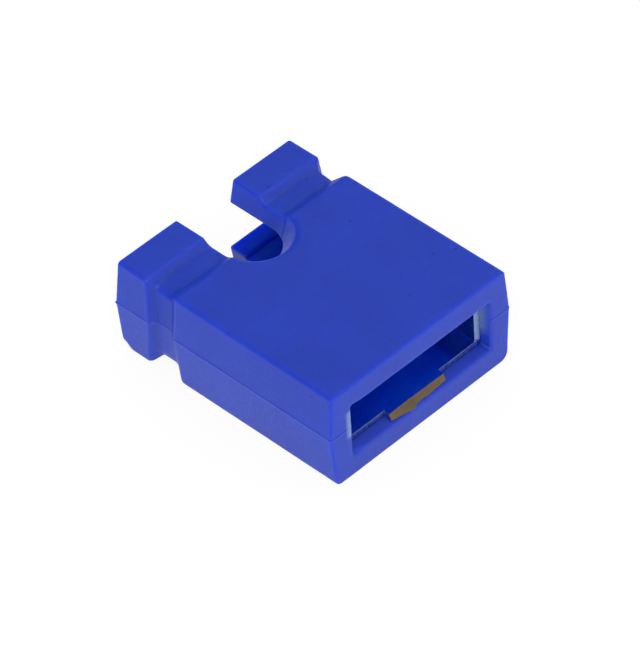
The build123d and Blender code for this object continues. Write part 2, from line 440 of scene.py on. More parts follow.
# Shares and counts for the same forms
LEFT_EAR_UPRIGHT = 0.9      # share of the back's lean that the left ear lacks, low down
UPRIGHT_LOSS = 0.4          # and how much less it lacks higher up
DROP_AT_SHOULDER = 1.25     # the neck's slope drops more at the shoulder than at the head
DROP_LOSS = 0.7
SHOULDER_LEAN = 0.4         # lean of the groove's front, as a share of the sides' lean
HEAD_LEAN = 2.0             # and of the heads' fronts, low down
SCOOP_SLOPE = 0.9           # true distance to the scoop's wall, as a share of the level one
WAVE_SCALE = 0.9            # waves in each mm
FLASH_SCALE = 2.3           # uneven stretches of the flash in each mm
FLASH_SEED = 7.0
FLASH_SPREAD = 1.6          # how uneven the flash is
FLASH_BACK = (5.7, 5.9)     # where it grows towards the ears' back, in mm
FLASH_GROWTH = 1.2


class Mould:
    """The housing as a signed distance in mm, positive outside, from its sizes and a place."""

    def __init__(self, tree, rounded, size, x, y, z):
        self.tree = tree
        self.rounded = rounded
        self.size = size
        self.x, self.y, self.z = x, y, z
        above = (z - size["Parting Height"]) / (size["Thickness"] - size["Parting Height"])
        below = 1.0 - z / size["Parting Height"]
        self.lean = size["Draft"] * higher(above, below)
        self.side = abs(x) - size["Width"] * 0.5 + self.lean
        self.top = z - size["Thickness"]
        self.right = ramp(x, *LEFT_TO_RIGHT)

    def share(self, a, b, radius):
        """What two solids share, with a rounded edge between them."""
        return add_group(self.tree, self.rounded, a, b, radius)

    def noise(self, scale, seed):
        """Smooth noise round 0, from about -0.5 to 0.5."""
        place = self.tree.nodes.new("ShaderNodeCombineXYZ")
        for value, socket in zip((self.x + seed, self.y, self.z), place.inputs):
            self.tree.links.new(value.socket, socket)
        node = self.tree.nodes.new("ShaderNodeTexNoise")
        node.inputs["Scale"].default_value = scale
        node.inputs["Detail"].default_value = 1.0
        self.tree.links.new(place.outputs[0], node.inputs["Vector"])
        return Field(self.tree, node.outputs[0]) - 0.5

    def block(self):
        """Drafted block with its long edges, its heel and its mouth end rounded."""
        size, fine = self.size, self.size["Fine Edge Radius"]
        left = 1.0 - self.right
        upright = LEFT_EAR_UPRIGHT - ramp(self.z, *LOW_TO_HIGH) * UPRIGHT_LOSS
        shorter = left * (LEFT_EAR_SHORT - self.lean * upright)
        back = self.y - size["Length"] + self.lean + shorter
        sides_top = self.share(self.side, self.top, size["Top Edge Radius"])
        heel = ramp(self.y, *HEEL_REACH)
        uneven = self.right * LOW_EDGE_SPREAD - LOW_EDGE_SPREAD / 2
        low_edge = size["Bottom Edge Radius"] + uneven
        radius = low_edge + (size["Heel Radius"] - low_edge) * heel
        plain = self.share(sides_top, -self.z, low_edge)
        block = self.share(self.share(sides_top, back, fine), -self.z, radius)
        return self.share(block, -self.y, fine), plain

    def slope(self, rise, run):
        """Share of a ramp's level distance that is its true distance."""
        return rise / hypotenuse(rise, run)

    def groove(self, plain):
        """Finger groove round the ears, between two ramps, with a slope beside its flat top."""
        size, fine = self.size, self.size["Fine Edge Radius"]
        depth, run = size["Groove Depth"], size["Neck Slope Run"]
        to_head = (self.y - size["Shoulder"]) / (size["Head"] - size["Shoulder"])
        drop = size["Neck Slope Drop"] * (DROP_AT_SHOULDER - to_head * DROP_LOSS)
        out = abs(self.x) - size["Neck Top Half Width"]
        neck_slope = (out * drop + (self.top + depth) * run) / hypotenuse(drop, run)
        neck_top = self.share(self.top + depth, neck_slope, NECK_TOP_EDGE)
        neck = self.share(self.side + depth, neck_top, NECK_SIDE_EDGE)
        neck = self.share(neck, depth - self.z, size["Groove Bottom Radius"])
        front = size["Shoulder"] - self.lean * SHOULDER_LEAN
        front = front - plain * size["Shoulder Run"] / depth - self.y
        front = front * self.slope(depth, size["Shoulder Run"])
        lean = self.lean * (HEAD_LEAN - ramp(self.z, *LOW_TO_HIGH))
        rear = self.y - size["Head"] - lean - plain * size["Head Run"] / depth
        rear = rear * self.slope(depth, size["Head Run"])
        groove = self.share(self.share(-neck, front, fine), rear, fine)
        edge = hypotenuse(self.side, self.y - size["Head"] - lean) / EDGE_HALF
        ridge = (edge * edge * -1.0).math("EXPONENT") * size["Head Ridge"]
        return groove, ridge

    def cavity(self):
        """Cavity for the contact, with its lead-in and stop."""
        size = self.size
        lead_in = higher(1.0 - self.y / size["Lead-in Depth"], 0.0)
        start = self.y - size["Stop Start"]
        stop = ramp(start, 0.0, STEP) * size["Stop Height"]
        side = abs(self.x) - size["Cavity Width"] * 0.5
        side = side - lead_in * self.right * size["Lead-in Side"]
        under = size["Floor Height"] - lead_in * size["Lead-in Drop"] + stop - self.z
        over = self.z - size["Ceiling Height"] - lead_in * size["Lead-in Rise"]
        height = higher(under, over)
        return self.share(side, height, size["Cavity Edge Radius"])

    def top_slot(self):
        """Upper slot: leaning sides and a round end that leans back as a scoop."""
        size = self.size
        down = -self.top / (size["Thickness"] - size["Ceiling Height"])
        along = self.y - size["Top Slot Centre"] - down * size["Top Slot Lean"]
        half = size["Top Slot Half Width"] - down * size["Top Slot Taper"]
        half = half - ramp(self.y, WITNESS_Y - STEP, WITNESS_Y) * size["Witness Step"]
        slot = hypotenuse(self.x, lower(along, 0.0)) - half
        return higher(slot * SCOOP_SLOPE, TOP_SLOT_END - self.z)

    def bottom_slot(self):
        """Narrower lower slot, with leaning walls."""
        size = self.size
        half = size["Bottom Slot Half Width"] - self.z * LOW_SLOT_TAPER
        along = lower(self.y - size["Bottom Slot Centre"], 0.0)
        return higher(hypotenuse(self.x, along) - half, self.z - LOW_SLOT_END)

    def flash(self):
        """Uneven bead of plastic along the line where the mould's halves meet."""
        seam = (self.z - self.size["Parting Height"]) / SEAM_HALF
        uneven = 1.0 + self.noise(FLASH_SCALE, FLASH_SEED) * FLASH_SPREAD
        uneven = uneven + ramp(self.y, *FLASH_BACK) * FLASH_GROWTH
        return (seam * seam * -1.0).math("EXPONENT") * self.size["Flash"] * uneven

    def rim(self):
        """Rounding where the hollow meets the outside, softer in three places."""
        size, fine = self.size, self.size["Fine Edge Radius"]
        stop = ramp(self.y, *STOP_RIM_ALONG) * ramp(self.z, *STOP_RIM_UP)
        scoop = ramp(self.y, *SCOOP_RIM_ALONG) * ramp(self.z, *SCOOP_RIM_UP)
        mouth = ramp(self.y, *MOUTH_RIM_ALONG) * ramp(self.x, *MOUTH_RIM_ACROSS)
        rim = fine + stop * STOP_RIM
        rim = rim + (size["Top Slot Rim Radius"] - fine) * scoop
        return rim + (size["Mouth Rim Radius"] - fine) * mouth

    def distance(self):
        """The whole housing."""
        size = self.size
        block, plain = self.block()
        groove, ridge = self.groove(plain)
        block = self.share(block, -groove, size["Fine Edge Radius"]) - ridge
        waves = (self.noise(WAVE_SCALE, 0.0) + 0.5) * size["Waves"]
        hollow = self.share(-self.cavity(), -self.top_slot(), TOP_SLOT_CREASE)
        hollow = self.share(hollow, -self.bottom_slot(), LOW_SLOT_CREASE)
        return self.share(block - self.flash() + waves, hollow, self.rim())


def place_in_mm(tree, per_unit, offset):
    """The position being worked on, in mm, with y measured from the mouth."""
    position = tree.nodes.new("GeometryNodeInputPosition")
    split = tree.nodes.new("ShaderNodeSeparateXYZ")
    tree.links.new(position.outputs[0], split.inputs[0])
    x, y, z = (Field(tree, socket) * per_unit for socket in split.outputs)
    return x, y - offset, z


def moulded(tree, rounded, size):
    """Skin of the mould, found on a grid whose lines lie closest together at its edges."""
    across, x_count = spacing_group("Lines across", 0.0, X_LINES)
    length, y_count = spacing_group("Lines along", Y_START, Y_LINES)
    height, z_count = spacing_group("Lines up", Z_START, Z_LINES)
    line_x, line_y, line_z = place_in_mm(tree, 1.0, 0.0)
    x = add_group(tree, across, abs(line_x)) * line_x.math("SIGN")
    y = add_group(tree, length, line_y)
    z = add_group(tree, height, line_z)

    grid = tree.nodes.new("GeometryNodeVolumeCube")
    inside = -Mould(tree, rounded, size, x, y, z).distance()
    tree.links.new(inside.socket, grid.inputs["Density"])
    grid.inputs["Background"].default_value = -1.0
    grid.inputs["Min"].default_value = (-x_count, 0, 0)
    grid.inputs["Max"].default_value = (x_count, y_count, z_count)
    grid.inputs["Resolution X"].default_value = 2 * x_count + 1
    grid.inputs["Resolution Y"].default_value = y_count + 1
    grid.inputs["Resolution Z"].default_value = z_count + 1
    skin = tree.nodes.new("GeometryNodeVolumeToMesh")
    skin.inputs["Threshold"].default_value = 0.0
    tree.links.new(grid.outputs[0], skin.inputs["Volume"])

    join = tree.nodes.new("ShaderNodeCombineXYZ")
    for value, socket in zip((x * MM, (y * MM) + MOUTH_Y, z * MM), join.inputs):
        tree.links.new(value.socket, socket)
    place = tree.nodes.new("GeometryNodeSetPosition")
    tree.links.new(skin.outputs[0], place.inputs["Geometry"])
    tree.links.new(join.outputs[0], place.inputs["Position"])
    return place.outputs[0]


def painted(tree, shape, given, core):
    """The shape with its materials: outside, duller in the upper slot and smooth in the cavity."""
    polished = higher(core.cavity(), core.size["Lead-in Depth"] + LINING_START - core.y)
    for label, near in (("Outside", None), ("Slots", core.top_slot()), ("Inside", polished)):
        paint = tree.nodes.new("GeometryNodeSetMaterial")
        tree.links.new(shape, paint.inputs["Geometry"])
        tree.links.new(given.outputs[label], paint.inputs["Material"])
        if near:
            chosen = near.math("LESS_THAN", PAINT_REACH)
            tree.links.new(chosen.socket, paint.inputs["Selection"])
        shape = paint.outputs[0]
    return shape


def housing_tree():
    """The housing as a rule: a drafted block, less its groove, cavity and slots, made a mesh."""
    names = HousingSizes.__annotations__
    labels = [HousingSizes.bl_rna.properties[name].name for name in names]
    inputs = [(label, "NodeSocketFloat", 1.0) for label in labels]
    inputs += [(label, "NodeSocketMaterial", None) for label in ("Outside", "Slots", "Inside")]
    tree, given, result = new_tree("Jumper cap housing", inputs, ("Geometry", "NodeSocketGeometry"))
    size = {label: Field(tree, given.outputs[label]) for label in labels}
    rounded = rounded_edge_group()

    smooth = tree.nodes.new("GeometryNodeSetShadeSmooth")
    tree.links.new(moulded(tree, rounded, size), smooth.inputs[0])
    real = tree.nodes.new("GeometryNodeRealizeInstances")
    tree.links.new(smooth.outputs[0], real.inputs[0])
    core = Mould(tree, rounded, size, *place_in_mm(tree, 1 / MM, MOUTH_Y / MM))
    tree.links.new(painted(tree, real.outputs[0], given, core), result.inputs[0])
    return tree


# ---------------------------------------------------------------- contact

# Torn lower edge of the carrier stub: x, y
STUB_EDGE = [(-0.81, 0.04), (-0.24, -0.06), (-0.12, 0.015), (0.20, 0.005), (0.71, 0.04)]
STUB_ROWS = (1.0, 0.3, 0.0)     # rows of points on the stub, as shares of its reach

# Small forms of the contact, in mm
STUB_STEP = 0.06            # spacing of the points along the torn edge
STUB_CLEAR = 0.015          # how far those points keep from the lance's lines
TEAR = 0.010                # unevenness of the torn edge
TEAR_SCALE = 9              # tears in each mm
TEAR_FINE_SCALE = 7         # and along the broken face's upper edge
SLIT = 0.02                 # gap between each tongue and the rest of its wall
LANCE_GAP = 0.04            # gap round the lance
START_GAP = 0.02            # from the end of the lead-in to the sheet's front
STUB_END = 0.10             # from the mouth, the zone that holds only the stub's broken face
FRONT_ZONE = 0.30           # and the zone that holds the sheet's whole front
BASE_UNDERCUT = 0.006       # how far the base's front face leans back, down to its lower edge
WALL_UNDERCUT = 0.02        # how far each wall's front leans back, in to its inner edge
WALL_REACH = 0.10           # width and height beyond which a front point isn't a wall's

FOLD_STEPS = 8              # faces round each fold
WELD = 1e-7                 # in metres
SHARP_EDGE = math.radians(60)   # edges that are rounded
SHADE_EDGE = math.radians(20)   # edges that shade as sharp
TIN, BRONZE, SHEARED = range(3)     # the contact's materials


def arc_points(before, corner, after, radius):
    """Points of the arc that rounds a corner of a path."""
    into = (corner - before).normalized()
    out = (after - corner).normalized()
    turn = into.angle_signed(out)
    start = corner - into * radius * math.tan(abs(turn) / 2)
    centre = start + Vector((-into.y, into.x)) * math.copysign(radius, -turn)
    points = []
    for step in range(FOLD_STEPS + 1):
        spoke = start - centre
        spoke.rotate(Matrix.Rotation(-turn * step / FOLD_STEPS, 2))
        points.append(centre + spoke)
    return points


def between(points, x):
    """Height at x on a line through points (x, y)."""
    for (x1, y1), (x2, y2) in zip(points, points[1:]):
        if x1 <= x <= x2:
            return y1 + (y2 - y1) * (x - x1) / (x2 - x1)
    raise ValueError("x is outside the line")


def add_patch(mesh, columns, rows, place, skip=None):
    """Grid of faces, where place(column, row) gives each point and skip leaves faces out."""
    grid = [[mesh.verts.new(place(column, row)) for column in columns] for row in rows]
    for j in range(len(rows) - 1):
        for i in range(len(columns) - 1):
            middle = (columns[i] + columns[i + 1]) / 2
            if skip and skip(middle, (rows[j] + rows[j + 1]) / 2):
                continue
            mesh.faces.new((grid[j][i], grid[j][i + 1], grid[j + 1][i + 1], grid[j + 1][i]))


def in_frame(x, y, z):
    """A place in mm from the mouth, in the part's own frame."""
    return Vector((x * MM, y * MM + MOUTH_Y, z * MM))


def sheet_front():
    """Where the sheet starts, just behind the mouth's lead-in."""
    return MOUTH_Y + settings().housing.lead_in + START_GAP * MM


class FoldedSheet:
    """Middle surface of the contact, as a mesh without thickness, from its sizes in mm."""

    def __init__(self, size):
        self.size = size
        self.mesh = bmesh.new()
        self.wall_x = -CONTACT_LOW.x / MM - size["sheet"] / 2
        self.base_z = settings().housing.floor / MM + size["sheet"] / 2
        self.front = (sheet_front() - MOUTH_Y) / MM
        self.window = size["lance_half"] + LANCE_GAP
        foot = Vector((self.wall_x, self.base_z))
        crown = Vector((self.wall_x, size["wall_top"]))
        grip = Vector((size["grip_x"], size["grip_z"]))
        tip = Vector((size["tip_x"], size["tip_z"]))
        self.low_fold = arc_points(Vector((0, self.base_z)), foot, crown, size["fold"])
        self.high_fold = arc_points(foot, crown, grip, size["fold"])
        self.tongue = self.high_fold + arc_points(crown, grip, tip, size["fold"]) + [tip]
        self.flat = self.flat_columns()
        self.rows = [
            self.front, size["tongue_start"] - SLIT, size["tongue_start"], size["tongue_end"],
            size["tongue_end"] + SLIT, size["lance_tip"] - LANCE_GAP, size["wall_end"],
            size["lance_root"], (CONTACT_HIGH.y - MOUTH_Y) / MM,
        ]

    def flat_columns(self):
        """Places across the flat of the base: at the lance's lines and along the torn edge."""
        half = self.size["lance_half"]
        lance_lines = (-self.window, -half, half, self.window)
        left, right = STUB_EDGE[0][0], STUB_EDGE[-1][0]
        count = round((right - left) / STUB_STEP)
        stub = [left + (right - left) * i / count for i in range(count + 1)]
        stub = [x for x in stub if min(abs(x - line) for line in lance_lines) > STUB_CLEAR]
        return sorted({*stub, *lance_lines})

    def add_channel(self):
        """Base and side walls, as one folded strip with a window for the lance."""
        size = self.size
        half = self.low_fold + [self.high_fold[0]]
        profile = [Vector((-p.x, p.y)) for p in reversed(half)]
        profile += [Vector((x, self.base_z)) for x in self.flat] + half
        base_first, base_last = len(half) - 1, len(profile) - len(half)

        def place(column, y):
            return in_frame(profile[column].x, y, profile[column].y)

        def hole(column, y):
            """Faces that the strip hasn't: the lance's window and the walls behind their end."""
            if column < base_first or column > base_last:
                return y > size["wall_end"]
            x = (profile[int(column)].x + profile[int(column) + 1].x) / 2
            in_window = size["lance_tip"] - LANCE_GAP < y < size["lance_root"]
            return in_window and abs(x) < self.window

        add_patch(self.mesh, range(len(profile)), self.rows, place, hole)

    def add_tongue(self, side):
        """Tongue of the wall on one side, 1 or -1: down to its grip and up again to its tip."""
        columns = range(len(self.tongue))[::side]

        def place(column, y):
            return in_frame(side * self.tongue[column].x, y, self.tongue[column].y)

        add_patch(self.mesh, columns, [self.size["tongue_start"], self.size["tongue_end"]], place)

    def add_wall_tops(self, side):
        """Plain upper edge of one wall, before its tongue and behind it."""
        size = self.size
        heights = [self.high_fold[0].y, size["wall_top"] + size["sheet"] / 2][::side]
        before = (self.front, size["tongue_start"] - SLIT)
        behind = (size["tongue_end"] + SLIT, size["wall_end"])
        for start, end in (before, behind):
            rows = [y for y in self.rows if start <= y <= end]
            add_patch(self.mesh, heights, rows, lambda z, y: in_frame(side * self.wall_x, y, z))

    def add_stub(self):
        """Stub of the carrier strip, bent down towards its torn edge."""
        left, right = STUB_EDGE[0][0], STUB_EDGE[-1][0]

        def place(x, share):
            torn = between(STUB_EDGE, x) + noise.noise(Vector((x * TEAR_SCALE, 0, 0))) * TEAR
            y = self.front + (torn - self.front) * share
            return in_frame(x, y, self.base_z - self.size["stub_droop"] * share)

        add_patch(self.mesh, [x for x in self.flat if left <= x <= right], STUB_ROWS, place)

    def add_lance(self):
        """Lance that is bent down out of the base, towards the mouth."""
        root, tip = self.size["lance_root"], self.size["lance_tip"]
        columns = [x for x in self.flat if abs(x) <= self.size["lance_half"] + WELD]

        def place(x, y):
            share = (root - y) / (root - tip)
            return in_frame(x, y, self.base_z - self.size["lance_drop"] * share)

        add_patch(self.mesh, columns, [tip, (tip + root) / 2, root], place)

    def finished(self):
        """The whole sheet, with its patches welded together."""
        self.add_channel()
        for side in (1, -1):
            self.add_tongue(side)
            self.add_wall_tops(side)
        self.add_stub()
        self.add_lance()
        bmesh.ops.remove_doubles(self.mesh, verts=self.mesh.verts, dist=WELD)
        bmesh.ops.recalc_face_normals(self.mesh, faces=self.mesh.faces)
        return self.mesh


def object_from(name, mesh):
    data = bpy.data.meshes.new(name)
    mesh.to_mesh(data)
    mesh.free()
    piece = bpy.data.objects.new(name, data)
    bpy.context.scene.collection.objects.link(piece)
    return piece


def break_stub(mesh, size, edge):
    """Carries the stub's upper edge back to a straight line, and makes its broken face bronze."""
    base_z = settings().housing.floor + size["sheet"] / 2 * MM
    middle = base_z - size["stub_droop"] / 2 * MM
    upper = {i for i in edge if mesh.vertices[i].co.z > middle}
    slope = size["stub_droop"] * MM / (sheet_front() - MOUTH_Y)
    for index in upper:
        place = mesh.vertices[index].co
        uneven = noise.noise(place / MM * TEAR_FINE_SCALE) * TEAR / 2
        moved = MOUTH_Y + (size["stub_top"] + uneven) * MM
        place.z += slope * (moved - place.y)
        place.y = moved
    for face in mesh.polygons:
        corners = set(face.vertices)
        if corners <= edge and corners & upper and corners - upper:
            face.material_index = BRONZE


def lean_front(mesh, size, edge):
    """Leans the front of the base and of the walls back, as cutting leaves it."""
    base_z = settings().housing.floor + size["sheet"] / 2 * MM
    wall_x = CONTACT_HIGH.x - size["sheet"] / 2 * MM
    stub_half = -STUB_EDGE[0][0] * MM
    reach = WALL_REACH * MM
    for vertex in mesh.vertices:
        if vertex.index in edge or vertex.co.y > MOUTH_Y + FRONT_ZONE * MM:
            continue
        across = abs(vertex.co.x)
        if vertex.co.z < base_z and across > stub_half:
            vertex.co.y += BASE_UNDERCUT * MM
        elif wall_x - reach < across < wall_x and vertex.co.z > base_z + reach:
            vertex.co.y += WALL_UNDERCUT * MM


def contact_piece(size, metals):
    """The contact as a closed sheet of even thickness, with softened edges."""
    source = object_from("contact_source", FoldedSheet(size).finished())
    for metal in metals:
        source.data.materials.append(metal)
    solid = source.modifiers.new("sheet", "SOLIDIFY")
    solid.thickness = size["sheet"] * MM
    solid.offset = 0.0
    solid.use_even_offset = True
    solid.material_offset_rim = SHEARED
    thick = plain_mesh("contact_thick", source)
    edge = {v.index for v in thick.data.vertices if v.co.y < MOUTH_Y + STUB_END * MM}
    break_stub(thick.data, size, edge)
    lean_front(thick.data, size, edge)
    bevel = thick.modifiers.new("edges", "BEVEL")
    bevel.width = size["edge"] * MM
    bevel.segments = 1
    bevel.limit_method = "ANGLE"
    bevel.angle_limit = SHARP_EDGE
    piece = plain_mesh("contact_sheet", thick)
    piece.data.shade_smooth()
    piece.data.set_sharp_from_angle(angle=SHADE_EDGE)
    return piece


# ---------------------------------------------------------------- materials


NOISE_REACH = (0.3, 0.7)    # where nearly all of a noise pattern lies
SPOT_EDGE = 0.01            # how sharply cells with a spot are told from the others
SPOT_CORE = 0.4             # share of a spot's radius in which it is full
GRAIN_HEIGHT = 0.6          # height of the plastic's grain, as a share of its pits' depth

# Painted highlights beside the mouth, as pale strips: on the mouth's left rim, and on the right
# lead-in wall where the bright contact lights it. For each axis, where a strip is absent and where
# it is full, in mm, with y from the mouth
LEFT_STRIP = {"X": [(-2.09, -1.98), (-1.83, -1.87)], "Y": [(0.12, 0.0)], "Z": [(1.00, 1.10)]}
RIGHT_STRIP = {"X": [(1.80, 1.86), (2.10, 2.00)], "Y": [(0.02, 0.24)], "Z": [(0.85, 1.10)]}
RIGHT_STRIP_END = 0.30
RIGHT_STRIP_SHARE = 0.70    # how strongly the right strip's painted highlight shows
STRIP_LOW, STRIP_HIGH = 0.60, 1.72
LINING_FADE = (3.8, 4.6)    # y in mm over which the lining's painted light fades to its darker colour near the slots


def shader_node(tree, kind, links=(), **values):
    """Adds a node. Links are (input name, output socket); values set inputs or properties."""
    node = tree.nodes.new(kind)
    for name, value in values.items():
        label = name.replace("_", " ").title()
        if label in node.inputs:
            node.inputs[label].default_value = value
        else:
            setattr(node, name, value)
    for name, socket in links:
        tree.links.new(socket, node.inputs[name])
    return node


def noise_on(tree, place, scale, detail=2.0, roughness=0.5):
    return shader_node(
        tree, "ShaderNodeTexNoise", [("Vector", place)], scale=scale, detail=detail, roughness=roughness
    ).outputs["Fac"]


def spread(tree, value, low, high, to_low=0.0, to_high=1.0):
    """Maps a value from low..high to to_low..to_high, clamped."""
    return shader_node(
        tree, "ShaderNodeMapRange", [("Value", value)],
        from_min=low, from_max=high, to_min=to_low, to_max=to_high,
    ).outputs["Result"]


def combined(tree, operation, first, second):
    node = shader_node(tree, "ShaderNodeMath", operation=operation)
    for socket, value in zip(node.inputs, (first, second)):
        if isinstance(value, (int, float)):
            socket.default_value = value
        else:
            tree.links.new(value, socket)
    return node.outputs[0]


def mixed(tree, share, first, second):
    """Colour between two colours, each one given or from a socket."""
    node = shader_node(tree, "ShaderNodeMix", [("Factor", share)], data_type="RGBA")
    for socket, value in zip(node.inputs[6:8], (first, second)):
        if isinstance(value, bpy.types.NodeSocket):
            tree.links.new(value, socket)
        else:
            socket.default_value = value
    return node.outputs[2]


def bumped(tree, shader, height, strength, distance):
    bump = shader_node(
        tree, "ShaderNodeBump", [("Height", height)], strength=strength, distance=distance
    )
    tree.links.new(bump.outputs[0], shader.inputs["Normal"])


def vary_roughness(tree, shader, pattern, smooth, rough):
    roughness = spread(tree, pattern, *NOISE_REACH, smooth, rough)
    tree.links.new(roughness, shader.inputs["Roughness"])


def glow_through(shader, depth, colours):
    """Light that goes into the plastic and comes out nearby, by its depth for each colour."""
    shader.inputs["Subsurface Weight"].default_value = 1.0
    shader.inputs["Subsurface Scale"].default_value = depth
    shader.inputs["Subsurface Radius"].default_value = colours


def new_material(name):
    material = bpy.data.materials.new(name)
    material.use_nodes = True
    tree = material.node_tree
    shader = tree.nodes["Principled BSDF"]
    place = tree.nodes.new("ShaderNodeTexCoord").outputs["Object"]
    return material, tree, shader, place


def spots(tree, place, scale, share, radius):
    """1 in round spots: a share of a pattern's cells has one, and radius is in cell widths."""
    cells = shader_node(
        tree, "ShaderNodeTexVoronoi", [("Vector", place)], scale=scale, randomness=1.0
    )
    chosen = shader_node(tree, "ShaderNodeSeparateColor", [("Color", cells.outputs["Color"])])
    rare = spread(tree, chosen.outputs[0], 1.0 - share, 1.0 - share + SPOT_EDGE)
    dot = spread(tree, cells.outputs["Distance"], radius, radius * SPOT_CORE)
    return combined(tree, "MULTIPLY", rare, dot)


def strip_share(tree, axes, strip):
    """1 inside a strip and 0 outside it."""
    share = 1.0
    for axis, bands in strip.items():
        start = MOUTH_Y if axis == "Y" else 0.0
        for absent, full in bands:
            band = spread(tree, axes[axis], start + absent * MM, start + full * MM)
            share = combined(tree, "MULTIPLY", share, band)
    return share


def painted_highlight_share(tree, place):
    """How far the plastic is painted pale beside the mouth: painted highlights on the mouth's left rim
    and on the right lead-in wall.
    """
    axes = shader_node(tree, "ShaderNodeSeparateXYZ", [("Vector", place)]).outputs
    left = strip_share(tree, axes, LEFT_STRIP)
    right = strip_share(tree, axes, RIGHT_STRIP)
    right = combined(tree, "MULTIPLY", right, RIGHT_STRIP_SHARE)
    ended = combined(tree, "LESS_THAN", axes["Y"], MOUTH_Y + RIGHT_STRIP_END * MM)
    right = combined(tree, "MULTIPLY", right, ended)
    low = combined(tree, "GREATER_THAN", axes["Z"], STRIP_LOW * MM)
    high = combined(tree, "LESS_THAN", axes["Z"], STRIP_HIGH * MM)
    either = combined(tree, "MAXIMUM", left, right)
    return combined(tree, "MULTIPLY", combined(tree, "MULTIPLY", low, high), either)


def plastic_material(name, colours, light, deep, specular):
    """Moulded blue thermoplastic: satin, faintly mottled, with a few pits and specks."""
    material, tree, shader, place = new_material(name)
    mottle = noise_on(tree, place, scale=1100.0, detail=4.0, roughness=0.6)
    grain = noise_on(tree, place, scale=16000.0, detail=3.0, roughness=0.6)
    pit = spots(tree, place, scale=2600.0, share=0.30, radius=0.12)
    dust = spots(tree, place, scale=2100.0, share=0.035, radius=0.08)
    mottled = spread(tree, mottle, *NOISE_REACH)

    shade = mixed(tree, mottled, opaque(deep), opaque(light))
    shade = mixed(tree, pit, shade, opaque(colours.speck))
    shade = mixed(tree, dust, shade, opaque(colours.dust))
    # painted highlights beside the mouth, mixed over the plastic's colour
    shade = mixed(tree, painted_highlight_share(tree, place), shade, opaque(colours.painted_highlight))
    tree.links.new(shade, shader.inputs["Base Color"])
    vary_roughness(tree, shader, grain, smooth=0.40, rough=0.52)
    shader.inputs["Specular IOR Level"].default_value = specular
    glow_through(shader, depth=0.4 * MM, colours=(0.03, 0.15, 1.0))
    grained = combined(tree, "MULTIPLY", grain, GRAIN_HEIGHT)
    bumped(tree, shader, combined(tree, "SUBTRACT", grained, pit), strength=0.35, distance=6e-6)
    return material


def lining_material(colours):
    """The same plastic where the mould's polished core shaped it, inside the cavity; its colour is
    painted brighter near the mouth, as light in the shaded cavity.
    """
    material, tree, shader, place = new_material("smooth_blue_plastic")
    mottle = noise_on(tree, place, scale=1500.0, detail=3.0, roughness=0.6)
    along = shader_node(tree, "ShaderNodeSeparateXYZ", [("Vector", place)]).outputs["Y"]
    under = spread(tree, along, *(MOUTH_Y + y * MM for y in LINING_FADE))
    # painted light: bright lining near the mouth, fading to a darker blue near the slots
    shade = mixed(tree, under, opaque(colours.plastic_inside), opaque(colours.plastic_under))
    tree.links.new(shade, shader.inputs["Base Color"])
    vary_roughness(tree, shader, mottle, smooth=0.22, rough=0.30)
    shader.inputs["Specular IOR Level"].default_value = 0.03
    glow_through(shader, depth=0.8 * MM, colours=(0.05, 0.15, 1.0))
    bumped(tree, shader, noise_on(tree, place, scale=9000.0), strength=0.2, distance=3e-6)
    return material


def metal_material(name, deep, light, smooth, rough, strength, distance, fine=None, **pattern):
    """Metal whose colour and gloss vary over a noise pattern. Its grain is that pattern too, or
    a noise of the fine scale."""
    material, tree, shader, place = new_material(name)
    cloud = noise_on(tree, place, **pattern)
    shade = mixed(tree, cloud, opaque(deep), opaque(light))
    tree.links.new(shade, shader.inputs["Base Color"])
    shader.inputs["Metallic"].default_value = 1.0
    vary_roughness(tree, shader, cloud, smooth, rough)
    grain = noise_on(tree, place, scale=fine) if fine else cloud
    bumped(tree, shader, grain, strength, distance)
    return material


def tin_material(colours):
    """Bright tin plate on the contact's sheet."""
    return metal_material(
        "tin_plate", colours.tin_deep, colours.tin, smooth=0.07, rough=0.17,
        strength=0.2, distance=4e-6, fine=9000.0, scale=2500.0, detail=3.0,
    )


def bronze_material(colours):
    """Bare bronze where the carrier strip was broken off."""
    return metal_material(
        "bare_bronze", colours.bronze_deep, colours.bronze, smooth=0.40, rough=0.62,
        strength=0.5, distance=8e-6, scale=14000.0, detail=4.0, roughness=0.7,
    )


def sheared_reflection_material(colours):
    """The sheet's cut edges, duller than its plated faces, with a painted reflection of the blue plastic
    tinting their colour.
    """
    return metal_material(
        "sheared_edge_painted_reflection", colours.sheared_painted_reflection_deep, colours.sheared_painted_reflection, smooth=0.24, rough=0.36,
        strength=0.2, distance=3e-6, scale=12000.0, detail=3.0, roughness=0.6,
    )


# ---------------------------------------------------------------- stage

CAMERA_TARGET = Vector((0.0, 3.0, 1.2))       # in mm, y from the mouth
CAMERA_AIM = Vector((0.0016775, -0.0040897, -1.0))    # slightly off the target, right and down
SENSOR = 36.0                                 # in mm
CAMERA_NEAR, CAMERA_FAR = 0.001, 10.0         # what the camera sees, in metres
LAMP_PLACE = Vector((-0.147, -0.152, 0.101))  # in metres
LAMP_SIZE = 0.16
BRIGHT_SIDE = (-0.30, -0.45, 0.84)            # where the world's light comes from
BRIGHT_REFLECTION = (0.70, -0.70, 0.10)       # where the world is bright in reflections
DIM_END, BRIGHT_END = -0.6, 1.0               # how squarely a direction faces those, dim to bright
FLOOR_HALF = 0.5                              # in metres
FLOOR_GLOW = 0.92                             # how much of the floor shows as plain white
FLOOR_FADE = (0.010, 0.030)                   # where the floor's reflection fades, in metres
FLOOR_NEAR = 0.95                             # its strength before that
FLOOR_FAR = 0.30                              # and beyond


